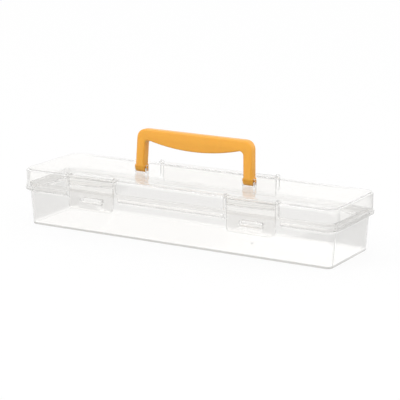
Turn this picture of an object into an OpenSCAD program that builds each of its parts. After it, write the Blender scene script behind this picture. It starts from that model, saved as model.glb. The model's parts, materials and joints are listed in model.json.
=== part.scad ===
// Clear art supply box: a long tray with a hinged lid, two snap latches and a folding handle.
// The origin is the centre of the base. +X runs along the box, -Y is the latch side, +Z is up.
// "Out" below means the distance from the box's middle plane, measured towards the front or the back.

/* [Box] */
// Length over the lid
box_l = 342; // [300:1:400]
// Depth over the lid, front to back
box_w = 92; // [84:1:120]
// Height from the ground to the top of the lid
box_h = 57; // [54:1:80]
// Corner radius of the lid, seen from above
corner_r = 12; // [11:0.5:16]
// Wall of the tray and the lid
wall = 1.8; // [1.4:0.1:2.2]

/* [Tray] */
// How far the base is drawn in from the face of the lid
base_inset = 6; // [4:0.5:8]
// Rounding where the tray's walls meet its floor
base_edge_r = 1.2; // [0.8:0.1:1.6]
// Height of the top of the rim
rim_z = 40; // [38:0.5:42]
// How far the rim stands out from the face of the lid
rim_out = 1; // [0.5:0.1:1.5]
// Height of the rim's upright face
rim_h = 3.6; // [3:0.1:5]
// Height of the slope under the rim
rim_slope_h = 3.1; // [2.5:0.1:4]
// Wall of the rim
rim_wall = 1.6; // [1.2:0.1:1.8]
// Height of the lip that stands up inside the lid
lip_h = 3; // [2:0.5:6]
// Clearance between the lip and the lid's skirt
lip_gap = 1.2; // [0.8:0.1:1.5]
// How far short of the back corners the lip ends, so that the opening lid can swing in
lip_back = 4; // [2:1:20]

/* [Lid] */
// Gap between the rim and the lid's skirt
seat_gap = 0.3; // [0.2:0.05:0.5]
// Rounding of the lid's upper edge
lid_edge_r = 3.8; // [3:0.1:5]

/* [Pivots] */
// How far the latch and hinge axes lie below the top of the lid
pivot_drop = 0.8; // [0:0.1:1.5]
// Radius of the barrels that turn in the cheeks
barrel_r = 1.9; // [1.7:0.1:2.2]
// Radius of the stub pins at the barrels' ends
pin_r = 1.1; // [0.9:0.05:1.2]
// Radial clearance of a pin in its bore
bore_gap = 0.08; // [0.05:0.01:0.1]
// Thickness of a cheek
cheek_t = 3; // [2.4:0.1:4]
// How far a cheek stands out beyond its axis
cheek_out = 2; // [1.9:0.1:3]
// How far a cheek rises above its axis
cheek_rise = 3.7; // [3.2:0.1:4.5]
// Rounding of a cheek's outer corner
cheek_r = 2.8; // [1.5:0.1:3]
// Height of a cheek's lower end above the rim
cheek_foot = 2.5; // [1.5:0.5:5]
// How far a cheek reaches over the top of the lid from its axis
cheek_reach = 8; // [7:0.5:12]

/* [Hinge] */
// Length of the hinge tongue between its cheeks
tongue_l = 127; // [110:1:140]
// Thickness of the hinge tongue and of the latch flaps
flap_wall = 1.9; // [1.6:0.1:2.2]
// Clearance between the lid's face and a flap or the tongue
flap_gap = 0.6; // [0.4:0.1:0.8]
// Clearance between a barrel's end and its cheek
end_gap = 0.3; // [0.2:0.05:0.5]

/* [Latches] */
// Distance from the box's middle to the middle of a latch
latch_x = 87.5; // [85:0.5:110]
// Width of a latch flap
latch_w = 50.5; // [46:0.5:52]
// Height of a flap's lower edge
latch_foot_z = 25.2; // [23:0.1:28]
// Rounding of a flap's lower corners
latch_corner_r = 4.5; // [3:0.5:7]
// Height of the middle of the arched crease where the finger lip begins
crease_z = 37.3; // [36.5:0.1:39]
// Radius of the finger lip at that crease, seen from above
lip_cone_r = 268; // [200:1:400]
// How far the finger lip leans out for each millimetre down
lip_lean = 0.245; // [0.15:0.005:0.3]
// Width of a latch window
window_w = 24; // [18:0.5:28]
// Height of the middle of the window's arched top
window_z = 36.9; // [36.5:0.1:37.5]
// Radius of the window's arched top
window_arch_r = 75; // [50:1:150]
// Height of the underside of the catch on the tray
catch_z = 33.2; // [32.5:0.1:33.6]
// Height of the catch
catch_h = 2.9; // [2:0.1:3]
// Clearance between the catch and the latch
catch_gap = 0.3; // [0.2:0.05:0.4]
// How far the hook reaches under the catch
hook_reach = 1.5; // [0.8:0.1:1.8]
// Height of the hook
hook_h = 1.9; // [1.5:0.1:2.5]
// Free space on each side of a flap, where the rim is left out
notch_gap = 4.2; // [4:0.1:6]

/* [Handle] */
// Width over the handle's upper corners
handle_w = 126.4; // [110:0.2:130]
// Width of a leg
leg_w = 9; // [8:0.1:10]
// How far each leg leans outwards from top to bottom, in degrees
leg_lean = 2.2; // [1:0.1:4]
// Thickness of the handle, front to back
handle_t = 10; // [8:0.1:11]
// Rounding of the handle's long edges
handle_edge_r = 1.6; // [0.6:0.1:2]
// Height of the handle's top above the lid
handle_rise = 43.4; // [35:0.1:55]
// Radius of the handle's upper corners
handle_corner_r = 9; // [6:0.5:9]
// Height of the grip at its middle
grip_h = 17.1; // [14:0.1:19]
// Radius of the curve under the grip
belly_r = 205; // [180:1:300]
// Radius of the inner corners between the legs and the grip
inner_corner_r = 4; // [2:0.5:6]
// Height of the handle's pivot above the lid
foot_lift = 5; // [4.9:0.1:6]
// Radius of the rounded foot
foot_r = 4.6; // [3.6:0.1:4.7]
// Width of a foot, a little more than its leg
foot_w = 9.6; // [9.4:0.1:11]
// How far back the standing handle leans, in degrees
handle_lean = 3; // [0:0.5:10]
// How far the handle folds to each side from upright, in degrees
fold_turn = 75; // [60:1:80]
// Clearance between the folded handle and the lid
fold_gap = 0.3; // [0.2:0.1:1]
// Radius of the handle's stub pins
handle_pin_r = 1.2; // [1:0.1:1.5]
// Thickness of the ears that hold the pins
ear_t = 1.6; // [1.4:0.1:3]
// Radius of the ears round the pins
ear_r = 2.4; // [2.2:0.1:3]
// Clearance between a foot and its ears
ear_gap = 0.4; // [0.3:0.05:0.5]

/* [Hidden] */
$fn = 96;

// Overlap that lets joined shapes share volume
bite = 0.4;
// Step between a bar and the larger one it runs into
step = 0.05;
// Far enough to cut right through any wall
through = 60;

// The straight runs between the corner centres
core_l = box_l - 2 * corner_r;
core_w = box_w - 2 * corner_r;

// Tray: radii are measured outwards from the corner centres
lip_z = rim_z + lip_h;
base_r = corner_r - base_inset;
lip_r = corner_r - wall - lip_gap;
rim_r = corner_r + rim_out;
draft = (lip_r - base_r) / lip_z;
slope_z = rim_z - rim_h - rim_slope_h;
slope_top_z = rim_z - rim_h;

// Lid
skirt_z = rim_z + seat_gap;
ceiling_z = box_h - wall;
lid_face = box_w / 2;

// Pivots: the barrel runs just clear of the lid's rounded edge
pivot_z = box_h - pivot_drop;
edge_span = lid_edge_r + seat_gap + barrel_r;
edge_drop = lid_edge_r - pivot_drop;
pivot_out = lid_face - lid_edge_r + sqrt(edge_span * edge_span - edge_drop * edge_drop);
bore_r = pin_r + bore_gap;
flap_in = lid_face + flap_gap;
flap_out = flap_in + flap_wall;

// Latches
hook_top_z = catch_z - catch_gap;
catch_out = flap_in - catch_gap - bite / 4;
hook_out = catch_out - hook_reach;
catch_w = window_w - 2;
notch_l = latch_w + 2 * notch_gap;

// Handle
foot_z = box_h + foot_lift;
handle_top_z = box_h + handle_rise;
corner_z = handle_top_z - handle_corner_r;
// The foot is slim until the folded handle's face clears the lid
foot_h = (handle_t / 2 * sin(fold_turn) - foot_lift + fold_gap) / cos(fold_turn) + handle_edge_r;
leg_rise = corner_z - foot_z - foot_h;
foot_x = handle_w / 2 - leg_w / 2 + leg_rise * tan(leg_lean);
corner_x = handle_w / 2 - handle_corner_r;
belly_z = handle_top_z - grip_h;
handle_bore_r = handle_pin_r + bore_gap;

clear = [0.93, 0.94, 0.95, 0.45];
orange = [0.95, 0.66, 0.27];

// The tray's outer face leans out evenly from the base to the lip
function face_r(z) = base_r + draft * z;

// The underside of the rim as a straight slope from the tray's face
function slope_at(r) =
    slope_z + rim_slope_h * (r - face_r(slope_z)) / (rim_r - face_r(slope_z));

// Sweeps a section round the box. The section's x is the distance out from the corner centres.
module around() {
    for (side = [0:3]) {
        run = side % 2 == 0 ? core_w : core_l;
        reach = side % 2 == 0 ? core_l / 2 : core_w / 2;
        rotate([0, 0, 90 * side])
            translate([reach, 0, 0])
                rotate([90, 0, 0])
                    linear_extrude(height = run, center = true)
                        children();
    }
    for (corner = [0:3]) {
        x = corner == 0 || corner == 3 ? core_l / 2 : -core_l / 2;
        y = corner < 2 ? core_w / 2 : -core_w / 2;
        translate([x, y, 0])
            rotate([0, 0, 90 * corner])
                rotate_extrude(angle = 90)
                    children();
    }
}

// The flat middle of a floor or a lid, between the swept edges
module middle_plate(z) {
    translate([-core_l / 2, -core_w / 2, z])
        cube([core_l, core_w, wall]);
}

// Extrudes a profile along X. The profile's x is the distance out towards the front.
module front_bar(length) {
    translate([-length / 2, 0, 0])
        rotate([90, 0, 90])
            mirror([1, 0, 0])
                linear_extrude(height = length)
                    children();
}

// ---- Tray ----

// Half a floor and a wall that leans out, with a rounded foot
module cup_profile(foot_r, foot_z, edge_r, top_z) {
    lean = atan(draft);
    arc_x = foot_r + edge_r * draft - edge_r / cos(lean);
    arc_z = foot_z + edge_r;
    touch_x = arc_x + edge_r * cos(lean);
    touch_z = arc_z - edge_r * sin(lean);
    polygon([
        [0, foot_z],
        [arc_x, foot_z],
        [arc_x, arc_z],
        [touch_x, touch_z],
        [foot_r + draft * (top_z - foot_z), top_z],
        [0, top_z]
    ]);
    intersection() {
        translate([arc_x, arc_z])
            circle(r = edge_r);
        translate([arc_x, foot_z])
            square([edge_r, edge_r]);
    }
}

module tray_wall_profile(top_z) {
    difference() {
        cup_profile(base_r, 0, base_edge_r, top_z);
        cup_profile(face_r(wall) - wall, wall, base_edge_r, top_z + 1);
    }
}

// The rim is a gutter: a slope out from the wall, then an upright face
module rim_profile() {
    slope_wall = rim_wall / cos(atan(rim_slope_h / (rim_r - face_r(slope_z))));
    root_r = face_r(slope_z) - wall / 2;
    inner_r = rim_r - rim_wall;
    polygon([
        [root_r, slope_at(root_r)],
        [rim_r, slope_top_z],
        [rim_r, rim_z],
        [inner_r, rim_z],
        [inner_r, slope_at(inner_r) + slope_wall],
        [root_r, slope_at(root_r) + slope_wall]
    ]);
}

// The catch that the latch hooks under
module catch_profile() {
    root = core_w / 2 + face_r(catch_z) - wall / 2;
    chamfer = 0.8;
    polygon([
        [root, catch_z],
        [catch_out, catch_z],
        [catch_out, catch_z + catch_h - chamfer],
        [catch_out - chamfer, catch_z + catch_h],
        [root, catch_z + catch_h]
    ]);
}

// The tongue carries the hinge barrel level with the top of the lid
module tongue_profile() {
    rim_in = core_w / 2 + rim_r - rim_wall;
    polygon([
        [rim_in, slope_at(rim_in - core_w / 2)],
        [flap_out, slope_at(flap_out - core_w / 2)],
        [flap_out, pivot_z],
        [flap_in, pivot_z],
        [flap_in, rim_z],
        [rim_in, rim_z]
    ]);
    translate([pivot_out, pivot_z])
        circle(r = barrel_r);
}

// A pair of stub pins at the ends of a barrel
module barrel_pins(length) {
    span = length + 2 * cheek_t;
    translate([-span / 2, -pivot_out, pivot_z])
        rotate([0, 90, 0])
            cylinder(r = pin_r, h = span);
}

module tray() {
    color(clear) {
        middle_plate(0);
        difference() {
            around()
                tray_wall_profile(lip_z);
            translate([-box_l / 2, core_w / 2 - lip_back, rim_z])
                cube([box_l, box_w / 2, box_h]);
        }
        difference() {
            around()
                rim_profile();
            for (x = [-latch_x, latch_x])
                translate([x - notch_l / 2, -lid_face - through / 2, slope_z - wall])
                    cube([notch_l, through / 2 + corner_r - face_r(rim_z) + wall / 2, box_h]);
        }
        for (x = [-latch_x, latch_x])
            translate([x, 0, 0])
                front_bar(catch_w)
                    catch_profile();
        rotate([0, 0, 180]) {
            front_bar(tongue_l)
                tongue_profile();
            barrel_pins(tongue_l);
        }
    }
}

// ---- Lid ----

module lid_shell_profile(side_r, top_z, edge_r) {
    square([side_r, top_z - edge_r]);
    square([side_r - edge_r, top_z]);
    translate([side_r - edge_r, top_z - edge_r])
        circle(r = edge_r);
}

module lid_profile() {
    difference() {
        lid_shell_profile(corner_r, box_h, lid_edge_r);
        lid_shell_profile(corner_r - wall, ceiling_z, lid_edge_r - wall);
        square([2 * corner_r, skirt_z]);
    }
}

// A cheek grows out of the skirt, rounds the pivot and runs back over the lid's edge
module cheek_profile() {
    mid_wall = wall / 2;
    foot_z = rim_z + cheek_foot;
    outer = pivot_out + cheek_out;
    top = pivot_z + cheek_rise;
    edge_o = lid_face - lid_edge_r;
    edge_z = box_h - lid_edge_r;
    mid_r = lid_edge_r - mid_wall;
    polygon([
        [lid_face - mid_wall, foot_z],
        [lid_face, foot_z],
        [outer, foot_z + outer - lid_face],
        [outer, top - cheek_r],
        [outer - cheek_r, top - cheek_r],
        [outer - cheek_r, top],
        [pivot_out - cheek_reach, box_h - mid_wall],
        [edge_o, box_h - mid_wall],
        [edge_o + mid_r * cos(45), edge_z + mid_r * sin(45)],
        [lid_face - mid_wall, edge_z]
    ]);
    translate([outer - cheek_r, top - cheek_r])
        intersection() {
            circle(r = cheek_r);
            square(cheek_r);
        }
}

// Two cheeks that hold a barrel of the given length
module cheek_pair(length) {
    span = length / 2 + end_gap;
    for (side = [-1, 1])
        translate([side * (span + cheek_t / 2), 0, 0])
            front_bar(cheek_t)
                difference() {
                    cheek_profile();
                    translate([pivot_out, pivot_z])
                        circle(r = bore_r);
                }
}

// An ear stands on the lid beside a handle foot
module ear() {
    rotate([90, 0, 90])
        linear_extrude(height = ear_t, center = true)
            difference() {
                union() {
                    translate([0, foot_z])
                        circle(r = ear_r);
                    translate([-ear_r, box_h - bite])
                        square([2 * ear_r, foot_lift + bite]);
                }
                translate([0, foot_z])
                    circle(r = handle_bore_r);
            }
}

module lid() {
    color(clear) {
        middle_plate(ceiling_z);
        around()
            lid_profile();
        for (x = [-latch_x, latch_x])
            translate([x, 0, 0])
                cheek_pair(latch_w);
        rotate([0, 0, 180])
            cheek_pair(tongue_l);
        for (side = [-1, 1])
            for (inner = [-1, 1])
                translate([side * foot_x + inner * (foot_w / 2 + ear_gap + ear_t / 2), 0, 0])
                    ear();
    }
}

// ---- Latches ----

// The flap seen from the front, with rounded lower corners
module flap_outline() {
    low = latch_foot_z + latch_corner_r;
    half = latch_w / 2;
    translate([-half, low])
        square([latch_w, pivot_z - low]);
    translate([-half + latch_corner_r, latch_foot_z])
        square([latch_w - 2 * latch_corner_r, pivot_z - latch_foot_z]);
    for (side = [-1, 1])
        translate([side * (half - latch_corner_r), low])
            circle(r = latch_corner_r);
}

// A round-topped window above the hook
module window_outline() {
    intersection() {
        translate([-window_w / 2, hook_top_z])
            square([window_w, window_z - hook_top_z]);
        translate([0, window_z - window_arch_r])
            circle(r = window_arch_r, $fn = 360);
    }
}

// Everything behind a flap face at the distance out, with its finger lip as part of a large cone
module flap_body(out) {
    drop = crease_z - latch_foot_z + 1;
    translate([-latch_w, -out, latch_foot_z - 1])
        cube([2 * latch_w, through, box_h]);
    translate([0, lip_cone_r - out, latch_foot_z - 1])
        cylinder(r1 = lip_cone_r + lip_lean * drop, r2 = lip_cone_r, h = drop, $fn = 360);
}

module hook_profile() {
    root = flap_out + lip_lean;
    chamfer = 0.9;
    polygon([
        [root, hook_top_z - hook_h],
        [hook_out + chamfer, hook_top_z - hook_h],
        [hook_out, hook_top_z - hook_h + chamfer],
        [hook_out, hook_top_z],
        [root, hook_top_z]
    ]);
}

module latch() {
    difference() {
        intersection() {
            translate([0, through / 2 - pivot_out, 0])
                rotate([90, 0, 0])
                    linear_extrude(height = through)
                        flap_outline();
            difference() {
                flap_body(flap_out);
                flap_body(flap_in);
            }
        }
        rotate([90, 0, 0])
            linear_extrude(height = through + lid_face)
                window_outline();
    }
    front_bar(latch_w)
        translate([pivot_out, pivot_z])
            circle(r = barrel_r);
    barrel_pins(latch_w);
    front_bar(window_w)
        hook_profile();
}

module left_latch() {
    color(clear)
        translate([-latch_x, 0, 0])
            latch();
}

module right_latch() {
    color(clear)
        translate([latch_x, 0, 0])
            latch();
}

// ---- Handle ----

// A rounded bar section, from x = 0 outwards by the width given
module bar_section(width, depth = handle_t) {
    translate([0, handle_edge_r])
        square([width, depth - 2 * handle_edge_r]);
    translate([handle_edge_r, 0])
        square([width - 2 * handle_edge_r, depth]);
    for (x = [handle_edge_r, width - handle_edge_r])
        for (y = [handle_edge_r, depth - handle_edge_r])
            translate([x, y])
                circle(r = handle_edge_r);
}

// A sector of a disc with rounded edges, in the plane of the handle, from +X up towards +Z
module edge_disc(radius, turn) {
    rotate([90, 0, 0])
        translate([0, 0, -handle_t / 2])
            rotate_extrude(angle = turn, $fn = 360)
                intersection() {
                    translate([-radius, 0])
                        bar_section(2 * radius);
                    square([radius, handle_t]);
                }
}

// The grip: a straight top edge over a long downward curve
module grip() {
    half = corner_x;
    reach = half + 2 * handle_edge_r;
    spread = asin(reach / belly_r) + 1;
    intersection() {
        translate([0, 0, belly_z + belly_r])
            rotate([0, 90 + spread, 0])
                edge_disc(belly_r, 2 * spread);
        translate([-reach, -handle_t, belly_z - 1])
            cube([2 * reach, 2 * handle_t, corner_z - belly_z + 1]);
    }
    intersection() {
        translate([-half, -handle_t / 2, handle_top_z])
            rotate([0, 90, 0])
                linear_extrude(height = 2 * half)
                    bar_section(grip_h);
        translate([-half, -handle_t, corner_z])
            cube([2 * half, 2 * handle_t, handle_corner_r]);
    }
}

// A foot: rounded at the pivot and widening to the leg, with a stub pin on each side
module foot() {
    pin_l = foot_w + 2 * (ear_gap + ear_t);
    rotate([90, 0, 90])
        translate([0, 0, -foot_w / 2])
            linear_extrude(height = foot_w)
                translate([0, foot_z]) {
                    circle(r = foot_r);
                    polygon([
                        [-foot_r, 0],
                        [foot_r, 0],
                        [handle_t / 2, foot_h - handle_edge_r],
                        [handle_t / 2 - handle_edge_r, foot_h + handle_edge_r],
                        [-handle_t / 2 + handle_edge_r, foot_h + handle_edge_r],
                        [-handle_t / 2, foot_h - handle_edge_r]
                    ]);
                }
    translate([-pin_l / 2, 0, foot_z])
        rotate([0, 90, 0])
            cylinder(r = handle_pin_r, h = pin_l);
}

// A leg runs from the rounded corner beside the grip out and down into the foot
module leg() {
    run = leg_rise / cos(leg_lean) + bite;
    translate([handle_w / 2 - step, 0, corner_z])
        rotate([0, -leg_lean, 0])
            translate([step - leg_w, step - handle_t / 2, -run])
                linear_extrude(height = run + bite)
                    bar_section(leg_w - step, handle_t - 2 * step);
    translate([corner_x, 0, corner_z])
        edge_disc(handle_corner_r, 90);
}

// Rounds the inner corner between a leg and the curve under the grip
module inner_corner() {
    normal = [cos(leg_lean), sin(leg_lean)];
    belly_mid = [0, belly_z + belly_r];
    off = normal * [handle_w / 2, corner_z] - leg_w - inner_corner_r;
    reach = belly_r + inner_corner_r;
    along = normal * belly_mid - off;
    drop = sqrt(reach * reach - along * along);
    mid = belly_mid - along * normal - drop * [-normal[1], normal[0]];
    up = (belly_mid - mid) / norm(belly_mid - mid);
    depth = handle_t - handle_edge_r;
    translate([0, depth / 2, 0])
        rotate([90, 0, 0])
            linear_extrude(height = depth)
                difference() {
                    polygon([
                        mid,
                        mid + inner_corner_r * normal,
                        mid + (inner_corner_r + bite) * (normal + up) / (1 + normal * up),
                        mid + inner_corner_r * up
                    ]);
                    translate(mid)
                        circle(r = inner_corner_r);
                }
}

module upright_handle() {
    grip();
    for (side = [0, 1])
        mirror([side, 0, 0]) {
            leg();
            inner_corner();
            translate([foot_x, 0, 0])
                foot();
        }
}

// The handle leans back on its pins, as it stands by itself
module handle() {
    color(orange)
        translate([0, 0, foot_z])
            rotate([-handle_lean, 0, 0])
                translate([0, 0, -foot_z])
                    upright_handle();
}

tray();
lid();
left_latch();
right_latch();
handle();
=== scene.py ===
# %% [markdown]
# A clear plastic art supply box, dressed in Blender.
# The box is a long shallow tray under a deep lid. Two clear latches hang on the front of the
# lid and snap under the tray's rim, and an orange carrying handle folds on top of the lid.
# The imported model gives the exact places, so every piece here is built on the same numbers.
# Clear plastic shows both sides of every wall at once. So each piece is one closed solid with
# real wall thickness and softly rounded edges: light bends there and draws the edge lines.

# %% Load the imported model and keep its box
import bpy
import json
import math
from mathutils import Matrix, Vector

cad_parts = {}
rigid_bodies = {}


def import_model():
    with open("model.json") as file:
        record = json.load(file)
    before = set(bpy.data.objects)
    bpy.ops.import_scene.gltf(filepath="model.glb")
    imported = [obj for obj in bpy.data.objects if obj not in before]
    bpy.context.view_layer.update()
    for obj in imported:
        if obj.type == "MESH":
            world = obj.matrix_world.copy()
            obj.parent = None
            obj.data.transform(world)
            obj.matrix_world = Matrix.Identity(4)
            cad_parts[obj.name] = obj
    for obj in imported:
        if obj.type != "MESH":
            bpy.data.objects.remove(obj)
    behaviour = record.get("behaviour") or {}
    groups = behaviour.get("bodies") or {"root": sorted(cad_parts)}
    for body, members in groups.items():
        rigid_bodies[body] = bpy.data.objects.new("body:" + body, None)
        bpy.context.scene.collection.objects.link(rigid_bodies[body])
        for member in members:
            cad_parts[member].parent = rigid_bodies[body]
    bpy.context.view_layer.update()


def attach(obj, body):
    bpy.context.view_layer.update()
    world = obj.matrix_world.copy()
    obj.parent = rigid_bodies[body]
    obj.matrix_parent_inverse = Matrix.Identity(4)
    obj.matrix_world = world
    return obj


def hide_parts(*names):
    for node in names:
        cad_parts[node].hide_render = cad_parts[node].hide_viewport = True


for startup in list(bpy.data.objects):
    bpy.data.objects.remove(startup)
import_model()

# %% [markdown]
# All sizes are written in millimetres, as on a moulder's drawing, and turned to metres in one
# place. The box's middle is at x = 0 and y = 0, and its front looks towards -Y. The walls are
# measured outwards from the centres of the four upright corners, because every wall of this box
# is one section carried round the same rounded rectangle. A size that only one piece needs is
# named where that piece is made.

# %% The drawing's sizes
mm = 0.001
CORE_X = 159.0  # centres of the upright corners
CORE_Y = 34.0
FOOT_R = 6.0  # the tray's corner radius where it stands
LIP_Z = 43.0  # top of the tray's wall
DRAFT = 3.0 / LIP_Z  # the wall leans out 3 mm over its height
WALL = 1.8
RIM_Z = 40.0  # top of the tray's outer rim
RIM_OUT = 13.0
SKIRT_Z = 40.3  # lower edge of the lid
LID_OUT = 12.0
BOX_TOP = 57.0
PIVOT = Vector((0, 47.396, 56.2))  # the back hinge; the latches turn at the same place in front
BARREL_R = 1.9
PIN_R = 1.1
LATCH_X = 87.5
LATCH_W = 50.5
TONGUE_L = 127.0
CHEEK_T = 3.0
FOOT_X = 59.75  # middle of each foot of the handle
FOOT_Z = 62.0
OVERCUT = 1.0  # a tool for a hole reaches this far past what it cuts


def face_r(z):
    """How far out the tray's leaning wall stands at a height."""
    return FOOT_R + DRAFT * z


print("tray wall from", face_r(0), "to", round(face_r(LIP_Z), 2), "mm out from the corner centres")

# %% [markdown]
# Sections are drawn as a list of corners, each with its own small radius. A helper swaps each
# corner for a short arc. That could also be done by bevelling afterwards, but a bevel on thin
# joined walls often collides with itself, while an arc in the section is always clean.

# %% Soften the corners of a section
def softened(corners, steps=4):
    """Corners are (x, z, radius). Returns points with an arc of that radius at each corner."""
    points = []
    count = len(corners)
    for i, (x, z, radius) in enumerate(corners):
        here = Vector((x, z))
        if radius == 0:
            points.append(here)
            continue
        back = (Vector(corners[i - 1][:2]) - here).normalized()
        on = (Vector(corners[(i + 1) % count][:2]) - here).normalized()
        half = back.angle(on) / 2
        centre = here + (back + on).normalized() * radius / math.sin(half)
        start = here + back * radius / math.tan(half)
        end = here + on * radius / math.tan(half)
        for k in range(steps + 1):
            turn = (start - centre).lerp(end - centre, k / steps)
            points.append(centre + turn.normalized() * radius)
    return points


def arc(x, z, radius, first, last, steps):
    """Points on an arc, by angles in degrees."""
    turns = [math.radians(first + (last - first) * k / steps) for k in range(steps + 1)]
    return [Vector((x + radius * math.cos(t), z + radius * math.sin(t))) for t in turns]


print("a softened square has", len(softened([(0, 0, 1), (9, 0, 1), (9, 9, 1), (0, 9, 1)])), "points")

# %% [markdown]
# By hand, such a section is drawn by shrinking a plane to one vertex and extruding that vertex
# from point to point. These helpers do the same. Everything else is deselected first, since an
# operator acts on all that is selected.

# %% Draw with operators
def put_down():
    """Back to object mode with nothing selected."""
    if bpy.context.object and bpy.context.object.mode == "EDIT":
        bpy.ops.object.mode_set(mode="OBJECT")
    bpy.ops.object.select_all(action="DESELECT")


def pick(piece):
    """Selects this piece alone and makes it the active one."""
    put_down()
    piece.select_set(True)
    bpy.context.view_layer.objects.active = piece


def draw_line(name, points):
    """A chain of edges through the points, in mm, left in edit mode with all of it selected."""
    points = [Vector(p) * mm for p in points]
    put_down()
    bpy.ops.mesh.primitive_plane_add(size=mm, location=points[0])
    bpy.ops.object.transform_apply(location=True, rotation=False, scale=False)
    piece = bpy.context.object
    piece.name = name
    piece.data.name = name
    bpy.ops.object.mode_set(mode="EDIT")
    bpy.ops.mesh.merge(type="CENTER")
    for here, there in zip(points, points[1:]):
        bpy.ops.mesh.extrude_region_move(TRANSFORM_OT_translate={"value": there - here})
    bpy.ops.mesh.select_all(action="SELECT")
    return piece


def draw_prism(name, points, along):
    """A closed outline through the points, filled and drawn out by a vector, all in mm."""
    piece = draw_line(name, points)
    bpy.ops.mesh.edge_face_add()
    bpy.ops.mesh.extrude_region_move(TRANSFORM_OT_translate={"value": Vector(along) * mm})
    bpy.ops.mesh.select_all(action="SELECT")
    bpy.ops.mesh.normals_make_consistent(inside=False)
    put_down()
    return piece


def join_by(piece, tool, how):
    """Boolean of two closed solids, applied. The tool is used up."""
    pick(piece)
    cut = piece.modifiers.new(how.lower(), "BOOLEAN")
    cut.operation = how
    cut.solver = "EXACT"
    cut.object = tool
    bpy.ops.object.modifier_apply(modifier=cut.name)
    bpy.data.objects.remove(tool)
    return piece


def soften_edges(piece, width, segments, limit=40):
    """Rounds the sharp edges with an applied Bevel."""
    pick(piece)
    edge = piece.modifiers.new("soft_edges", "BEVEL")
    edge.width = width * mm
    edge.segments = segments
    edge.limit_method = "ANGLE"
    edge.angle_limit = math.radians(limit)
    edge.use_clamp_overlap = True
    bpy.ops.object.modifier_apply(modifier=edge.name)


def finish_shading(piece, angle=32):
    """Smooth shading, except over edges sharper than the angle."""
    pick(piece)
    bpy.ops.object.shade_smooth_by_angle(angle=math.radians(angle))
    put_down()
    print(piece.name, len(piece.data.polygons), "faces")
    return piece


BAR_SIDES = 24


def bar(x0, y, z, radius, length):
    """A round bar along X as a prism of many sides, from x0."""
    last = 360 - 360 / BAR_SIDES
    section = arc(0, 0, radius, first=0, last=last, steps=BAR_SIDES - 1)
    return draw_prism("bar", [(x0, y + p.x, z + p.y) for p in section], (length, 0, 0))


print("round bars are drawn with", BAR_SIDES, "sides")

# %% [markdown]
# The walls of the tray and of the lid are one section carried round the box. The section is
# spun a quarter turn at each corner and extruded along each straight side. A cube with bevelled
# edges would be quicker, but its corners could not grow from 6 mm at the base to 9 mm above.

# %% Carry a section round the box
PLATE_FROM = 2.0  # a section starts and ends here, and the plate inside it is filled
MERGE = 0.01


def carried_round(name, section):
    """Section points are (distance out from the corner centres, height)."""
    piece = draw_line(name, [(CORE_X + p.x, CORE_Y, p.y) for p in section])
    stops = [
        ((CORE_X, CORE_Y), (-2 * CORE_X, 0)),
        ((-CORE_X, CORE_Y), (0, -2 * CORE_Y)),
        ((-CORE_X, -CORE_Y), (2 * CORE_X, 0)),
        ((CORE_X, -CORE_Y), (0, 2 * CORE_Y)),
    ]
    for (x, y), (run_x, run_y) in stops:
        bpy.ops.mesh.spin(
            steps=12,
            angle=-math.pi / 2,
            center=(x * mm, y * mm, 0),
            axis=(0, 0, 1),
        )
        bpy.ops.mesh.extrude_region_move(
            TRANSFORM_OT_translate={"value": (run_x * mm, run_y * mm, 0)}
        )
    bpy.ops.mesh.select_all(action="SELECT")
    bpy.ops.mesh.remove_doubles(threshold=MERGE * mm)
    bpy.ops.mesh.select_all(action="DESELECT")
    bpy.ops.mesh.select_non_manifold(
        extend=False, use_wire=False, use_boundary=True, use_multi_face=False,
        use_non_contiguous=False, use_verts=False,
    )
    bpy.ops.mesh.fill_holes(sides=0)
    bpy.ops.mesh.select_all(action="SELECT")
    bpy.ops.mesh.normals_make_consistent(inside=False)
    put_down()
    return piece


mouth = 4 * (CORE_X + CORE_Y) + 2 * math.pi * face_r(LIP_Z)
print("the tray's mouth is", round(mouth), "mm round")

# %% [markdown]
# The tray: a floor, walls that lean out by four degrees, and outside them an open gutter that
# stiffens the mouth. The wall runs on above the gutter as a low lip that locates the lid. The
# section starts on the underside of the floor and ends on its upper side, and filling both
# makes the floor.

# %% Tray walls, rim gutter and lip
FLOOR_ROUND = 1.2
GUTTER_Z = 33.3  # where the gutter leaves the wall
GUTTER_RISE = 3.1
GUTTER_FOOT = 36.4  # where its slope meets the upright rim
GUTTER_ROOT = 33.4
GUTTER_SKIN = 1.6
RIM_IN = 11.4
RIM_ROUND = 0.5
LIP_ROUND = 0.6
NOOK_ROUND = 0.4
gutter_slope = GUTTER_RISE / (RIM_OUT - face_r(GUTTER_Z))
gutter_skin = GUTTER_SKIN * math.sqrt(1 + gutter_slope * gutter_slope)
gutter_in = GUTTER_Z + gutter_slope * (RIM_IN - face_r(GUTTER_Z)) + gutter_skin
gutter_root = GUTTER_ROOT + gutter_skin
tray_section = softened([
    (PLATE_FROM, 0.0, 0),
    (face_r(0), 0.0, FLOOR_ROUND),
    (face_r(GUTTER_Z), GUTTER_Z, LIP_ROUND),
    (RIM_OUT, GUTTER_FOOT, LIP_ROUND),
    (RIM_OUT, RIM_Z, RIM_ROUND),
    (RIM_IN, RIM_Z, RIM_ROUND),
    (RIM_IN, gutter_in, NOOK_ROUND),
    (face_r(gutter_root), gutter_root, NOOK_ROUND),
    (face_r(LIP_Z), LIP_Z, LIP_ROUND),
    (face_r(LIP_Z) - WALL, LIP_Z, LIP_ROUND),
    (face_r(WALL) - WALL, WALL, FLOOR_ROUND),
    (PLATE_FROM, WALL, 0),
])
tray = carried_round("tray_shell", tray_section)
print("tray section of", len(tray_section), "points; box", [round(v, 4) for v in tray.dimensions])

# %% [markdown]
# Where a latch hangs, the rim is left out, so the gutter has two wide notches at the front. The
# lip is also left out at the back, where the opening lid swings in. Both are cut with closed
# wedges, drawn to lean with the wall so that no sliver stays on it.

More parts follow.
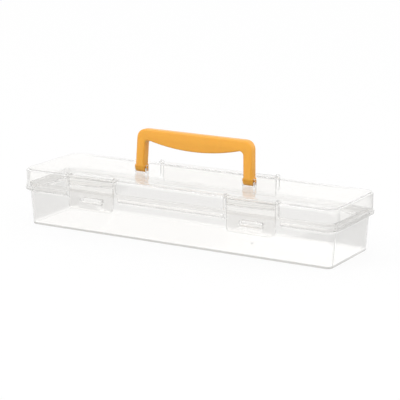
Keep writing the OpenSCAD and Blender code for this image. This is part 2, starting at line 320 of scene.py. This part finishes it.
# %% Cut the latch notches and the back of the lip
NOTCH_HALF = 29.45
NOTCH_FROM = 31
NOTCH_TO = 45
NOTCH_FRONT = -60
SLIT = 0.02  # the wedges stay this far off the faces that they run along
for x in (-LATCH_X, LATCH_X):
    wedge = draw_prism("notch", [
        (x - NOTCH_HALF, -CORE_Y - face_r(NOTCH_FROM) - SLIT, NOTCH_FROM),
        (x - NOTCH_HALF, -CORE_Y - face_r(NOTCH_TO) - SLIT, NOTCH_TO),
        (x - NOTCH_HALF, NOTCH_FRONT, NOTCH_TO),
        (x - NOTCH_HALF, NOTCH_FRONT, NOTCH_FROM),
    ], (2 * NOTCH_HALF, 0, 0))
    join_by(tray, wedge, "DIFFERENCE")
CUT_X = 180
CUT_FROM = CORE_Y - 4
CUT_TO = 70
CUT_TOP = 50
back_cut = draw_prism("back_cut", [
    (-CUT_X, CUT_FROM, RIM_Z + SLIT),
    (-CUT_X, CUT_TO, RIM_Z + SLIT),
    (-CUT_X, CUT_TO, CUT_TOP),
    (-CUT_X, CUT_FROM, CUT_TOP),
], (2 * CUT_X, 0, 0))
join_by(tray, back_cut, "DIFFERENCE")
print("notched tray has", len(tray.data.polygons), "faces")

# %% [markdown]
# Each latch needs something to hook under: a small solid catch in the middle of its notch. At
# the back a wide tongue rises from the rim and ends in the hinge barrel. They are drawn as
# side outlines and extruded along X, then joined to the tray so that no wall is left inside.

# %% Catches under the latches
CATCH_HALF = 11
CATCH_ROOT = -41.4  # inside the tray's wall
CATCH_FACE = -46.2
CATCH_LOW = 33.2
CATCH_HIGH = 36.1
catch_outline = softened([
    (CATCH_ROOT, CATCH_LOW, 0),
    (CATCH_FACE, CATCH_LOW, 0.3),
    (CATCH_FACE, CATCH_HIGH, 0.9),
    (CATCH_ROOT, CATCH_HIGH, 0),
])
for x in (-LATCH_X, LATCH_X):
    catch = draw_prism(
        "catch", [(x - CATCH_HALF, p.x, p.y) for p in catch_outline], (2 * CATCH_HALF, 0, 0)
    )
    join_by(tray, catch, "UNION")
print("catches stand out to y =", CATCH_FACE, "mm")

# %% Hinge tongue and hinge pins
TONGUE_FOOT = [Vector((46.2, 36.3)), Vector((48.5, 37.4))]
TONGUE_ON_RIM = [Vector((46.6, 39.5)), Vector((46.2, 39.5))]
barrel = arc(PIVOT.y, PIVOT.z, BARREL_R, first=-54.5, last=245.2, steps=20)
tongue_outline = TONGUE_FOOT + barrel + TONGUE_ON_RIM
tongue = draw_prism(
    "tongue", [(-TONGUE_L / 2, p.x, p.y) for p in tongue_outline], (TONGUE_L, 0, 0)
)
soften_edges(tongue, width=0.3, segments=2)
join_by(tray, tongue, "UNION")
pins = bar(-TONGUE_L / 2 - CHEEK_T, PIVOT.y, PIVOT.z, PIN_R, TONGUE_L + 2 * CHEEK_T)
join_by(tray, pins, "UNION")
print("tongue and pins end at x =", round(1000 * max(v.co.x for v in tray.data.vertices), 1), "mm")

# %% [markdown]
# Melted plastic enters the mould at one point of the floor, and the place where it was broken
# off stays as a tiny round mark. It is a short prism with a softened edge, sunk into the floor.

# %% Gate mark on the floor
GATE_X = 63.0
GATE_R = 1.5
GATE_SINK = 0.6  # how deep the prism starts inside the floor
GATE_H = 0.9
gate_round = arc(0, 0, GATE_R, first=0, last=337.5, steps=15)
gate_outline = [(GATE_X + p.x, p.y, WALL - GATE_SINK) for p in gate_round]
gate = draw_prism("gate_mark", gate_outline, (0, 0, GATE_H))
soften_edges(gate, width=0.15, segments=2)
join_by(tray, gate, "UNION")
finish_shading(tray)

# %% [markdown]
# The lid is the same rounded rectangle with upright walls and a generous outer edge. Its top is
# filled as the tray's floor is.

# %% Lid shell
LID_EDGE = 2.4
LID_IN = 10.2
lid_section = softened([
    (PLATE_FROM, BOX_TOP, 0),
    (LID_OUT, BOX_TOP, LID_EDGE),
    (LID_OUT, SKIRT_Z, RIM_ROUND),
    (LID_IN, SKIRT_Z, RIM_ROUND),
    (LID_IN, BOX_TOP - WALL, LID_EDGE - WALL),
    (PLATE_FROM, BOX_TOP - WALL, 0),
], steps=6)
lid = carried_round("lid_shell", lid_section)
print("lid box", [round(v, 4) for v in lid.dimensions])

# %% [markdown]
# Six moulded cheeks stand out from the lid: two beside each latch and two beside the back
# hinge. Each has a bore for a stub pin. One outline, seen from the side, serves all six, and at
# the back it is drawn facing the other way.

# %% Cheeks of the latches and of the hinge
CHEEK_IN = 45.1
CHEEK_OUT = 49.396
CHEEK_TOP = 59.9
END_GAP = 0.3  # air between a cheek and the end of the barrel
PIN_GAP = 0.08
cheek_outline = softened([
    (CHEEK_IN, 42.5, 0),
    (46.0, 42.5, 0),
    (CHEEK_OUT, 45.9, 0.8),
    (CHEEK_OUT, CHEEK_TOP, 2.8),
    (46.3, CHEEK_TOP, 0.6),
    (39.4, 56.1, 0),
    (42.2, 56.1, 0),
    (44.25, 55.25, 0),
    (CHEEK_IN, 53.2, 0),
], steps=5)


def cheek(x, side):
    """A cheek that starts at x, at the front (side -1) or at the back (side 1)."""
    piece = draw_prism("cheek", [(x, side * p.x, p.y) for p in cheek_outline], (CHEEK_T, 0, 0))
    soften_edges(piece, width=0.35, segments=2, limit=50)
    bore = bar(x - OVERCUT, side * PIVOT.y, PIVOT.z, PIN_R + PIN_GAP, CHEEK_T + 2 * OVERCUT)
    return join_by(piece, bore, "DIFFERENCE")


for middle, length, side in ((-LATCH_X, LATCH_W, -1), (LATCH_X, LATCH_W, -1), (0, TONGUE_L, 1)):
    reach = length / 2 + END_GAP
    join_by(lid, cheek(middle - reach - CHEEK_T, side), "UNION")
    join_by(lid, cheek(middle + reach, side), "UNION")
print("lid with cheeks has", len(lid.data.polygons), "faces")

# %% [markdown]
# The handle turns between four small ears on the lid, one on each side of each foot. An ear is
# an upright tab with a round top and a bore for the pin.

# %% Ears for the handle
ROOT_Z = 56.2  # the ears start inside the lid's top wall, so that the two solids truly overlap
EAR_R = 2.4
EAR_T = 1.6
EAR_BORE = 1.28
EAR_NEAR = 5.2  # from the middle of the foot to the ear's inner face
EAR_FAR = 6.8
ear_outline = [Vector((EAR_R, ROOT_Z))] + arc(0, FOOT_Z, EAR_R, first=0, last=180, steps=16)
ear_outline += [Vector((-EAR_R, ROOT_Z))]
for x in (-FOOT_X - EAR_FAR, -FOOT_X + EAR_NEAR, FOOT_X - EAR_FAR, FOOT_X + EAR_NEAR):
    ear = draw_prism("ear", [(x, p.x, p.y) for p in ear_outline], (EAR_T, 0, 0))
    soften_edges(ear, width=0.3, segments=2, limit=50)
    join_by(ear, bar(x - OVERCUT, 0, FOOT_Z, EAR_BORE, EAR_T + 2 * OVERCUT), "DIFFERENCE")
    join_by(lid, ear, "UNION")
finish_shading(lid)

# %% [markdown]
# A latch is a thin flap under a hinge barrel. Its lower half flares out for a fingertip, as
# part of a very large cone, so the crease between flap and lip is an arch. An arched window
# lets the catch through, and the hook sits under it. The flap is carved: a thick outline, kept
# where it lies inside an outer body and cut where it lies inside an inner one.

# %% Flap bodies
FLAP_OUT = 48.5  # the flap's outer face
FLAP_IN = 46.6
CONE_R = 268
CONE_SLOPE = 0.245
CONE_LOW = 24.0
CONE_HIGH = 37.3
CONE_SIDES = 720
SLAB_HALF = 40
SLAB_BACK = -30
SLAB_LOW = 20
SLAB_HIGH = 62


def flap_body(out):
    """Everything behind a flap face that stands this far out: a slab with a wide cone below."""
    slab = draw_prism("flap_body", [
        (-SLAB_HALF, -out, SLAB_LOW),
        (-SLAB_HALF, -out, SLAB_HIGH),
        (-SLAB_HALF, SLAB_BACK, SLAB_HIGH),
        (-SLAB_HALF, SLAB_BACK, SLAB_LOW),
    ], (2 * SLAB_HALF, 0, 0))
    put_down()
    bpy.ops.mesh.primitive_cone_add(
        vertices=CONE_SIDES,
        radius1=(CONE_R + CONE_SLOPE * (CONE_HIGH - CONE_LOW)) * mm,
        radius2=CONE_R * mm,
        depth=(CONE_HIGH - CONE_LOW) * mm,
        location=(0, (CONE_R - out) * mm, (CONE_HIGH + CONE_LOW) / 2 * mm),
    )
    bpy.ops.object.transform_apply(location=True, rotation=False, scale=False)
    return join_by(slab, bpy.context.object, "UNION")


print("the lip flares out", round(CONE_SLOPE * (CONE_HIGH - CONE_LOW), 2), "mm at most")

# %% [markdown]
# The flap's outline gives its rounded lower corners. The window and the hook are drawn from
# the front and from the side. The stub pins come last, after the edges are softened, so that
# they stay sharp enough to fit their bores. Each latch is made in the middle and then moved.

# %% Latches
FLAP_FOOT = 25.2
FLAP_ROUND = 4.5
WINDOW_HALF = 12
WINDOW_LOW = 32.9
ARCH_R = 75
ARCH_TOP = 36.9
HOOK_LOW = 31.0
HOOK_ROOT = -48.8  # inside the flap's lip
HOOK_TIP = -44.7
HOOK_CHAMFER = 0.9
BLANK_FRONT = -56  # the flap is carved out of a thick plate that starts here
BLANK_T = 12
THROUGH_FROM = -60  # the window's tool starts here and goes right through the plate
THROUGH = 20
half_latch = LATCH_W / 2
flap_outline = softened([
    (-half_latch, FLAP_FOOT, FLAP_ROUND),
    (half_latch, FLAP_FOOT, FLAP_ROUND),
    (half_latch, PIVOT.z, 0),
    (-half_latch, PIVOT.z, 0),
], steps=8)
arch = arc(0, ARCH_TOP - ARCH_R, ARCH_R, first=99.2, last=80.8, steps=14)
window_outline = [Vector((-WINDOW_HALF, WINDOW_LOW))] + arch
window_outline += [Vector((WINDOW_HALF, WINDOW_LOW))]
hook_outline = [
    (HOOK_ROOT, HOOK_LOW),
    (HOOK_TIP - HOOK_CHAMFER, HOOK_LOW),
    (HOOK_TIP, HOOK_LOW + HOOK_CHAMFER),
    (HOOK_TIP, WINDOW_LOW),
    (HOOK_ROOT, WINDOW_LOW),
]


def latch_at(name, x):
    """One latch, carved in the middle of the box and then moved along to x."""
    flap = draw_prism(name, [(p.x, BLANK_FRONT, p.y) for p in flap_outline], (0, BLANK_T, 0))
    join_by(flap, flap_body(FLAP_OUT), "INTERSECT")
    join_by(flap, flap_body(FLAP_IN), "DIFFERENCE")
    hole = draw_prism(
        "window", [(p.x, THROUGH_FROM, p.y) for p in window_outline], (0, THROUGH, 0)
    )
    join_by(flap, hole, "DIFFERENCE")
    hook = draw_prism(
        "hook", [(-WINDOW_HALF, y, z) for y, z in hook_outline], (2 * WINDOW_HALF, 0, 0)
    )
    join_by(flap, hook, "UNION")
    join_by(flap, bar(-half_latch, -PIVOT.y, PIVOT.z, BARREL_R, LATCH_W), "UNION")
    soften_edges(flap, width=0.35, segments=2, limit=45)
    pin_end = half_latch + CHEEK_T
    join_by(flap, bar(-pin_end, -PIVOT.y, PIVOT.z, PIN_R, 2 * pin_end), "UNION")
    pick(flap)
    flap.location.x = x * mm
    bpy.ops.object.transform_apply(location=True, rotation=False, scale=False)
    return finish_shading(flap)


left_latch = latch_at("left_latch_flap", -LATCH_X)
right_latch = latch_at("right_latch_flap", LATCH_X)

# %% [markdown]
# The handle is one solid moulding: two legs that lean out a little, and a grip whose underside
# bellies down in a long shallow curve. Its outline is drawn from the front and extruded to its
# thickness, and all its edges get one soft round. Where the belly meets a leg there is a round
# inner corner, and its centre is worked out so that it touches both without a kink.

# %% Handle bar
LEAN = 2.2  # how far the legs lean out, in degrees
LEG_W = 9
LEG_FOOT = 62.2
ROUND_X = 54.2  # centre of the round corner between leg and grip
ROUND_Z = 91.4
ROUND_R = 9
CORNER = Vector((63.2, ROUND_Z))  # on the leg's outer face, level with that centre
NOOK_R = 4
BELLY_R = 205
BELLY = Vector((0, 288.3))  # centre of the grip's lower curve
BAR_HALF = 4.97  # half the thickness of the bar
lean = math.radians(LEAN)
leg_face = Vector((math.cos(lean), math.sin(lean)))
leg_out = CORNER.x + (CORNER.y - LEG_FOOT) * math.tan(lean)
across_leg = leg_face.dot(BELLY) - leg_face.dot(CORNER) + LEG_W + NOOK_R
down_leg = math.sqrt((BELLY_R + NOOK_R) ** 2 - across_leg ** 2)
nook = BELLY - leg_face * across_leg - Vector((-leg_face.y, leg_face.x)) * down_leg
belly_turn = math.degrees(math.atan2(nook.x, BELLY.y - nook.y))
right_side = [Vector((leg_out, LEG_FOOT))]
right_side += arc(ROUND_X, ROUND_Z, ROUND_R, first=0, last=90, steps=12)
left_side = [Vector((-p.x, p.y)) for p in reversed(right_side)]
right_under = arc(nook.x, nook.y, NOOK_R, first=90 + belly_turn, last=LEAN, steps=8)
right_under += [Vector((leg_out - LEG_W, LEG_FOOT))]
left_under = [Vector((-p.x, p.y)) for p in reversed(right_under)]
belly = arc(BELLY.x, BELLY.y, BELLY_R, first=-90 - belly_turn, last=-90 + belly_turn, steps=40)
handle_outline = right_side + left_side + left_under + belly[1:-1] + right_under
handle = draw_prism(
    "handle_grip", [(p.x, -BAR_HALF, p.y) for p in handle_outline], (0, 2 * BAR_HALF, 0)
)
soften_edges(handle, width=1.6, segments=4)
print("inner corners of the handle are centred at", [round(v, 1) for v in nook])

# %% [markdown]
# Each leg ends in a foot that is rounded below, so that the handle can fold past the lid's
# face, with a stub pin through it. The finished handle then leans back a little on its pins,
# as such a handle stands by itself.

# %% Feet and pins
SHOE_R = 4.6
SHOE_HALF_Y = 5
SHOE_LOW = 62.5
SHOE_HIGH = 64.8
SHOE_HALF_X = 4.8
HANDLE_PIN_R = 1.2
LEAN_BACK = 3  # degrees
shoe_outline = arc(0, FOOT_Z, SHOE_R, first=180, last=360, steps=14)
shoe_outline += [Vector((SHOE_HALF_Y, SHOE_LOW)), Vector((SHOE_HALF_Y, SHOE_HIGH))]
shoe_outline += [Vector((-SHOE_HALF_Y, SHOE_HIGH)), Vector((-SHOE_HALF_Y, SHOE_LOW))]
for x in (-FOOT_X, FOOT_X):
    foot = draw_prism(
        "foot", [(x - SHOE_HALF_X, p.x, p.y) for p in shoe_outline], (2 * SHOE_HALF_X, 0, 0)
    )
    soften_edges(foot, width=0.3, segments=2)
    join_by(foot, bar(x - EAR_FAR, 0, FOOT_Z, HANDLE_PIN_R, 2 * EAR_FAR), "UNION")
    join_by(handle, foot, "UNION")
pick(handle)
bpy.ops.object.mode_set(mode="EDIT")
bpy.ops.mesh.select_all(action="SELECT")
bpy.ops.transform.rotate(
    value=math.radians(LEAN_BACK), orient_axis="X", center_override=(0, 0, FOOT_Z * mm)
)
put_down()
finish_shading(handle, angle=40)
lean_y = max(v.co.y for v in handle.data.vertices)
print("the handle's top leans back to y =", round(1000 * lean_y, 1), "mm")

# %% [markdown]
# Moulded plastic is never quite flat or evenly polished. Slow waves from cooling bend what is
# seen through it, and handling leaves fine hazy scuffs. Both plastics here show that, so it is
# a node group with its own strengths, built once and placed in each material.

# %% Node group: moulded surface
def node_group(name, inputs, outputs):
    """An empty group with named number inputs and named outputs."""
    group = bpy.data.node_groups.new(name, "ShaderNodeTree")
    for label, value in inputs:
        socket = group.interface.new_socket(label, in_out="INPUT", socket_type="NodeSocketFloat")
        socket.default_value = value
    for label, kind in outputs:
        group.interface.new_socket(label, in_out="OUTPUT", socket_type=kind)
    return group, group.nodes.new("NodeGroupInput"), group.nodes.new("NodeGroupOutput")


def maths(tree, operation, a, b):
    """A Math node. Each of a and b is a number or another node's output."""
    node = tree.nodes.new("ShaderNodeMath")
    node.operation = operation
    for socket, value in zip(node.inputs, (a, b)):
        if isinstance(value, (int, float)):
            socket.default_value = value
        else:
            tree.links.new(value, socket)
    return node.outputs[0]


def ramp(tree, value, start, end, first, last):
    """A smooth change from first to last while the value goes from start to end."""
    node = tree.nodes.new("ShaderNodeMapRange")
    node.interpolation_type = "SMOOTHSTEP"
    limits = {"From Min": start, "From Max": end, "To Min": first, "To Max": last}
    for socket, number in limits.items():
        node.inputs[socket].default_value = number
    tree.links.new(value, node.inputs["Value"])
    return node.outputs["Result"]


def noise(tree, place, scale, detail, rough=0.5):
    """A Noise Texture on the given place. The scale is a number or another node's output."""
    node = tree.nodes.new("ShaderNodeTexNoise")
    node.inputs["Detail"].default_value = detail
    node.inputs["Roughness"].default_value = rough
    if isinstance(scale, (int, float)):
        node.inputs["Scale"].default_value = scale
    else:
        tree.links.new(scale, node.inputs["Scale"])
    tree.links.new(place, node.inputs["Vector"])
    return node.outputs["Fac"]


moulded, group_in, group_out = node_group(
    "moulded_surface",
    [("Wave Scale", 18.0), ("Wave Height", 0.0004), ("Grain Scale", 900.0),
     ("Grain Height", 0.00002), ("Polish", 0.05), ("Scuff", 0.1)],
    [("Roughness", "NodeSocketFloat"), ("Height", "NodeSocketFloat"), ("Mask", "NodeSocketFloat")],
)
SCUFF_SCALE = 60.0
SCUFF_FROM = 0.5  # the noise has to be above this to leave a scuff
SCUFF_STEEP = 3.0
coords = moulded.nodes.new("ShaderNodeTexCoord").outputs["Object"]
waves = noise(moulded, coords, group_in.outputs["Wave Scale"], detail=1.0)
waves = maths(moulded, "MULTIPLY", waves, group_in.outputs["Wave Height"])
grain = noise(moulded, coords, group_in.outputs["Grain Scale"], detail=3.0)
grain = maths(moulded, "MULTIPLY", grain, group_in.outputs["Grain Height"])
scuffs = noise(moulded, coords, SCUFF_SCALE, detail=6.0, rough=0.65)
mask = maths(moulded, "MULTIPLY", maths(moulded, "SUBTRACT", scuffs, SCUFF_FROM), SCUFF_STEEP)
mask = maths(moulded, "MINIMUM", maths(moulded, "MAXIMUM", mask, 0.0), 1.0)
worn = maths(moulded, "MULTIPLY", mask, group_in.outputs["Scuff"])
rough = maths(moulded, "ADD", group_in.outputs["Polish"], worn)
moulded.links.new(rough, group_out.inputs["Roughness"])
moulded.links.new(maths(moulded, "ADD", waves, grain), group_out.inputs["Height"])
moulded.links.new(mask, group_out.inputs["Mask"])
print("moulded_surface has", len(moulded.nodes), "nodes")

# %% [markdown]
# Both plastics are a Principled shader with its fixed numbers on its own sockets, and the
# moulded surface feeding its roughness and its normals.

# %% A plastic with the moulded surface
def moulded_plastic(name, colour, values, relief_values):
    """A material with these fixed shader values and these strengths of the moulded surface."""
    material = bpy.data.materials.new(name)
    material.use_nodes = True
    tree = material.node_tree
    shader = tree.nodes["Principled BSDF"]
    shader.inputs["Base Color"].default_value = (*colour, 1)
    for socket, value in values.items():
        shader.inputs[socket].default_value = value
    surface = tree.nodes.new("ShaderNodeGroup")
    surface.node_tree = moulded
    for socket, value in relief_values.items():
        surface.inputs[socket].default_value = value
    relief = tree.nodes.new("ShaderNodeBump")
    relief.inputs["Strength"].default_value = 1.0
    relief.inputs["Distance"].default_value = 1.0
    tree.links.new(surface.outputs["Height"], relief.inputs["Height"])
    tree.links.new(relief.outputs["Normal"], shader.inputs["Normal"])
    tree.links.new(surface.outputs["Roughness"], shader.inputs["Roughness"])
    return material, tree, shader, surface


print("both plastics will share", moulded.name)

# %% [markdown]
# The clear plastic is polypropylene, very slightly milky: nearly all light goes through, and
# the rest scatters. Its body takes a little light over distance, so an edge, where light runs
# along inside the wall, shows as a grey line. It bends light a little less here than the real
# plastic does, because at this size the full bend breaks those lines up. In thin walls, some
# light is reflected inside again and again. A renderer stops after a few bounces and draws
# such places black, where the real wall stays a soft grey. So light that has been turned round
# a few times inside is ended there with a painted soft grey glow in place of that light. About
# a third of what is seen also goes straight through each wall, unbent, as through the milky
# skin of a real wall, which keeps the edge lines soft and whole. A ray that has passed one face
# of a wall in this way passes the other one too: an odd number of faces passed means that it is
# inside the wall.

# %% Clear plastic
CLEAR_TINT = (0.985, 0.980, 0.972)
CLEARNESS = 0.98
CLEAR_BEND = 1.4
WAVES = 0.0001
GLOSSY_BOUNCES = 2.5  # light that has been turned round more often than this ends
CLEAR_BOUNCES = 9.5  # and so does light that has passed more faces than this
PAINTED_DEEP_GLOW = 0.78
STRAIGHT_VIEW = 0.33
FACES_OF_A_WALL = 2.0
BODY_TINT = (0.75, 0.74, 0.71, 1)
BODY_DENSITY = 38
clear, tree, shader, _ = moulded_plastic(
    "clear_plastic", CLEAR_TINT,
    {"Transmission Weight": CLEARNESS, "IOR": CLEAR_BEND},
    {"Wave Scale": 14.0, "Wave Height": WAVES, "Grain Scale": 700.0, "Grain Height": 0.000001,
     "Polish": 0.02, "Scuff": 0.06},
)
output = tree.nodes["Material Output"]
bounces = tree.nodes.new("ShaderNodeLightPath")
few_turns = maths(tree, "LESS_THAN", bounces.outputs["Glossy Depth"], GLOSSY_BOUNCES)
few_faces = maths(tree, "LESS_THAN", bounces.outputs["Transmission Depth"], CLEAR_BOUNCES)
# A painted soft grey glow, in place of the light still turning inside the wall
end_light = tree.nodes.new("ShaderNodeEmission")
end_light.inputs["Color"].default_value = (PAINTED_DEEP_GLOW, PAINTED_DEEP_GLOW, PAINTED_DEEP_GLOW, 1)
softly = tree.nodes.new("ShaderNodeMixShader")
tree.links.new(maths(tree, "MULTIPLY", few_turns, few_faces), softly.inputs[0])
tree.links.new(end_light.outputs[0], softly.inputs[1])
tree.links.new(shader.outputs[0], softly.inputs[2])
tree.links.new(softly.outputs[0], output.inputs["Surface"])
in_wall = maths(tree, "MODULO", bounces.outputs["Transparent Depth"], FACES_OF_A_WALL)
unbent = maths(tree, "MAXIMUM", in_wall, STRAIGHT_VIEW)
straight = maths(tree, "MULTIPLY", unbent, bounces.outputs["Is Camera Ray"])
tree.links.new(maths(tree, "SUBTRACT", 1.0, straight), shader.inputs["Alpha"])
body = tree.nodes.new("ShaderNodeVolumeAbsorption")
body.inputs["Color"].default_value = BODY_TINT
body.inputs["Density"].default_value = BODY_DENSITY
tree.links.new(body.outputs["Volume"], output.inputs["Volume"])
print("clear_plastic has", len(tree.nodes), "nodes")

# %% [markdown]
# The handle is a solid orange plastic with a satin skin. A little light enters it, which warms
# its shaded sides, and the scuffed places are slightly paler and duller.

# %% Orange plastic
ORANGE = (0.857, 0.397, 0.041, 1)
ORANGE_WORN = (0.817, 0.369, 0.039, 1)
orange, tree, shader, surface = moulded_plastic(
    "handle_plastic", ORANGE[:3],
    {"IOR": 1.49, "Subsurface Weight": 0.12, "Subsurface Scale": 0.003},
    {"Wave Scale": 30.0, "Wave Height": 0.0002, "Grain Scale": 1400.0, "Grain Height": 0.00003,
     "Polish": 0.38, "Scuff": 0.12},
)
shader.inputs["Subsurface Radius"].default_value = (1.0, 0.45, 0.15)
shade = tree.nodes.new("ShaderNodeMix")
shade.data_type = "RGBA"
# A Mix node's inputs 6 and 7 are its two colours, and its output 2 is their blend.
shade.inputs[6].default_value = ORANGE
shade.inputs[7].default_value = ORANGE_WORN
tree.links.new(surface.outputs["Mask"], shade.inputs[0])
tree.links.new(shade.outputs[2], shader.inputs["Base Color"])

for piece in (tray, lid, left_latch, right_latch):
    piece.data.materials.append(clear)
handle.data.materials.append(orange)
print("materials:", clear.name, orange.name)

# %% [markdown]
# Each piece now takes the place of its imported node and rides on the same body, so that it
# moves with its joint.

# %% Seat the pieces on their bodies
for piece, body in (
    (tray, "tray"), (lid, "lid"), (left_latch, "left_latch"), (right_latch, "right_latch"),
    (handle, "handle"),
):
    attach(piece, body)
    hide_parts(body)
    print(piece.name, "rides on", body)

# %% [markdown]
# The studio is plain: a white table that runs out of sight. The table glows just enough to
# look white, and the rest of what is seen is its paint, which keeps the box's soft shadow.
# Seen through the plastic or in its gloss, the table glows a little brighter than white, and
# that glow carries painted shade: a painted shadow of the box, a little grey close behind it
# and on its left, painted shade greyer behind its right end, and painted shade darker far in
# front and far on the right. Clear plastic has no colour of its own, so only what stands round
# it tells its walls apart. Each pair of numbers says where such a change starts and where it
# ends, in metres along X or Y.

# %% Table
TABLE_PAINT = 0.85
TABLE_WHITE = 0.92  # share of its look that glows, where it is looked at directly
# The glow strength below is painted light, brighter than white, and the five strengths after it are
# painted shade and a painted shadow of the box, seen only through the plastic and in its gloss.
TABLE_BRIGHT = 1.13  # its strength in the plastic where no change darkens it
FRONT_PAINTED_SHADE = 0.8
RIGHT_PAINTED_SHADE = 0.5
BEHIND_PAINTED_SHADOW = 0.93
LEFT_PAINTED_SHADOW = 0.84
CORNER_PAINTED_SHADE = 0.82
FRONT_AT = (-0.07, -0.16)
RIGHT_AT = (0.172, 0.21)
BEHIND_AT = (0.038, 0.052)
LEFT_AT = (-0.164, -0.178)
FAR_AT = (0.147, 0.161)
CORNER_AT = (0.066, 0.100)
TABLE_SIZE = 12
TABLE_GAP = 0.0003
put_down()
bpy.ops.mesh.primitive_plane_add(size=TABLE_SIZE, location=(0, 0, -TABLE_GAP))
table = bpy.context.object
table.name = "table"
white = bpy.data.materials.new("table_white")
white.use_nodes = True
tree = white.node_tree
paint = tree.nodes["Principled BSDF"]
paint.inputs["Base Color"].default_value = (TABLE_PAINT, TABLE_PAINT, TABLE_PAINT, 1)
paint.inputs["Roughness"].default_value = 0.9
paint.inputs["Specular IOR Level"].default_value = 0.1
place = tree.nodes.new("ShaderNodeSeparateXYZ")
tree.links.new(tree.nodes.new("ShaderNodeTexCoord").outputs["Object"], place.inputs[0])
across = place.outputs["X"]
away = place.outputs["Y"]
# Painted shadow of the box close behind it and on its left, and painted shade behind its right end,
# far in front and far on the right, all as strengths of the table's glow.
behind = ramp(tree, away, *BEHIND_AT, TABLE_BRIGHT, BEHIND_PAINTED_SHADOW)
left = ramp(tree, across, *LEFT_AT, TABLE_BRIGHT, LEFT_PAINTED_SHADOW)
far = ramp(tree, away, *FAR_AT, 0.0, TABLE_BRIGHT)
painted_shadow = maths(tree, "MAXIMUM", maths(tree, "MINIMUM", behind, left), far)
corner = ramp(tree, across, *CORNER_AT, TABLE_BRIGHT, CORNER_PAINTED_SHADE)
corner = maths(tree, "MAXIMUM", corner, ramp(tree, away, *BEHIND_AT, TABLE_BRIGHT, 0.0))
front = ramp(tree, away, *FRONT_AT, TABLE_BRIGHT, FRONT_PAINTED_SHADE)
right = ramp(tree, across, *RIGHT_AT, TABLE_BRIGHT, RIGHT_PAINTED_SHADE)
outer = maths(tree, "MINIMUM", front, right)
inner = maths(tree, "MINIMUM", painted_shadow, corner)
painted_shade = maths(tree, "MINIMUM", outer, inner)
path = tree.nodes.new("ShaderNodeLightPath")
glow = tree.nodes.new("ShaderNodeEmission")
seen = path.outputs["Is Camera Ray"]
other = maths(tree, "MULTIPLY", maths(tree, "SUBTRACT", 1.0, seen), painted_shade)
tree.links.new(maths(tree, "ADD", seen, other), glow.inputs["Strength"])
through = maths(tree, "MAXIMUM", path.outputs["Is Glossy Ray"], path.outputs["Is Transmission Ray"])
direct = maths(tree, "MULTIPLY", seen, TABLE_WHITE)
blend = tree.nodes.new("ShaderNodeMixShader")
tree.links.new(maths(tree, "MAXIMUM", through, direct), blend.inputs[0])
tree.links.new(paint.outputs[0], blend.inputs[1])
tree.links.new(glow.outputs[0], blend.inputs[2])
tree.links.new(blend.outputs[0], tree.nodes["Material Output"].inputs["Surface"])
table.data.materials.append(white)
print("table is", round(table.dimensions.x, 1), "m wide")

# %% [markdown]
# The room is white above and behind the box, and greyer low down on the viewer's side, which
# is what the upright walls reflect. It is painted by direction, with the same smooth changes
# as on the table. Looked at directly, it is plain white.

# %% Room light
ROOM_BACK = 1.1
ROOM_SIDE = 0.6
ROOM_HIGH = 1.1
ROOM_LOW = 0.6
VIEWER_WAY = (0.62, -0.78, 0.0)
SIDE_AT = (-0.15, 0.75)
HIGH_AT = (-0.1, 0.9)
world = bpy.data.worlds.new("studio")
bpy.context.scene.world = world
world.use_nodes = True
tree = world.node_tree
sky = tree.nodes["Background"]
way = tree.nodes.new("ShaderNodeTexCoord").outputs["Generated"]
toward = tree.nodes.new("ShaderNodeVectorMath")
toward.operation = "DOT_PRODUCT"
toward.inputs[1].default_value = VIEWER_WAY
tree.links.new(way, toward.inputs[0])
height = tree.nodes.new("ShaderNodeSeparateXYZ")
tree.links.new(way, height.inputs[0])
round_about = ramp(tree, toward.outputs["Value"], *SIDE_AT, ROOM_BACK, ROOM_SIDE)
upwards = ramp(tree, height.outputs["Z"], *HIGH_AT, ROOM_LOW, ROOM_HIGH)
level = maths(tree, "MAXIMUM", round_about, upwards)
path = tree.nodes.new("ShaderNodeLightPath")
tree.links.new(maths(tree, "MAXIMUM", path.outputs["Is Camera Ray"], level), sky.inputs["Strength"])
sky.inputs["Color"].default_value = (1, 1, 1, 1)
print("room light has", len(tree.nodes), "nodes")

# %% [markdown]
# A large soft lamp from the front left lights the handle, and a weaker one from the right fills
# its shaded side. That one is kept out of the gloss, so that it leaves no bright spot on the
# plastic.

# %% Lamps
KEY_POWER = 10.3
FILL_POWER = 6
LAMP_AIM = (0, 0, 0.04)


def lamp(name, place, size, power):
    """A round soft lamp that looks at the box."""
    light = bpy.data.lights.new(name, "AREA")
    light.shape = "DISK"
    light.size = size
    light.energy = power
    holder = bpy.data.objects.new(name, light)
    bpy.context.collection.objects.link(holder)
    holder.location = place
    holder.rotation_euler = (Vector(LAMP_AIM) - Vector(place)).to_track_quat("-Z", "Y").to_euler()
    return holder


lamp("key", place=(-0.9, -1.6, 1.5), size=0.8, power=KEY_POWER)
fill = lamp("fill", place=(1.7, -0.4, 0.7), size=1.0, power=FILL_POWER)
fill.visible_glossy = False
fill.visible_transmission = False

# %% [markdown]
# A long lens from the front right and a little above keeps the box's edges nearly parallel.

# %% Camera
EYE = Vector((770.746, -1306.203, 405.414))
AIM = Vector((6.024, 0, 36.803))
LENS = 146.1
SENSOR = 36
eye = EYE * mm
aim = AIM * mm
camera_data = bpy.data.cameras.new("camera")
camera_data.lens = LENS
camera_data.sensor_width = SENSOR
camera = bpy.data.objects.new("camera", camera_data)
bpy.context.collection.objects.link(camera)
camera.location = eye
camera.rotation_euler = (aim - eye).to_track_quat("-Z", "Y").to_euler()
bpy.context.scene.camera = camera
bpy.context.scene.view_settings.view_transform = "Standard"
print("camera is", round((aim - eye).length, 3), "m away")
